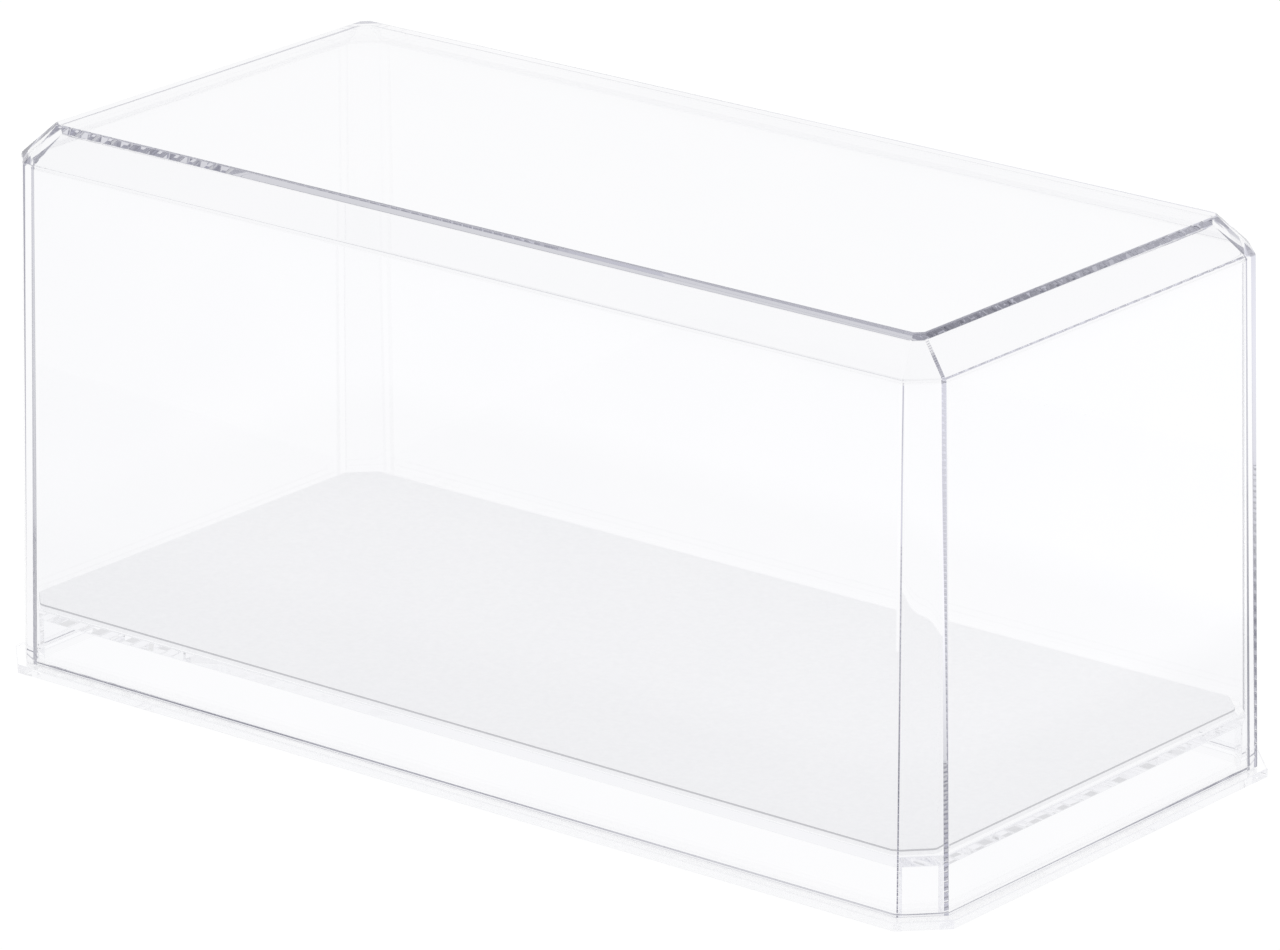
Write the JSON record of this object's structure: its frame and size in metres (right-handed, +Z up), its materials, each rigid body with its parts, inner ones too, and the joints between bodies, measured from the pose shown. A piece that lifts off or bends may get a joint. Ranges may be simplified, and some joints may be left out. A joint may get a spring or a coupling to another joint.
{
  "type": "display case",
  "caption": "Clear box-shaped display case with a bevelled lift-off cover, a raised clear base and a pale floor card.",
  "frame": {"origin": "middle of the flat underside of the base's flange, at the bottom of the overall box", "axes": "+Z up, +X along the long side, +Y across to the back"},
  "size_m": [0.25, 0.1226, 0.1189],
  "materials": {
    "clear_base": "clear, polished moulded polystyrene",
    "clear_cover": "clear, polished moulded polystyrene",
    "card": "matt pale grey-white card"
  },
  "bodies": {
    "base": {"base": "clear_base"},
    "floor_card": {"floor_card": "card"},
    "cover": {"cover": "clear_cover"}
  },
  "joints": [
    {"name": "card_lift", "type": "slide", "parent": "base", "child": "floor_card", "axis": [0, 0, 1], "range_m": [0, 0.02]},
    {"name": "cover_lift", "type": "slide", "parent": "base", "child": "cover", "axis": [0, 0, 1], "range_m": [0, 0.13]}
  ]
}
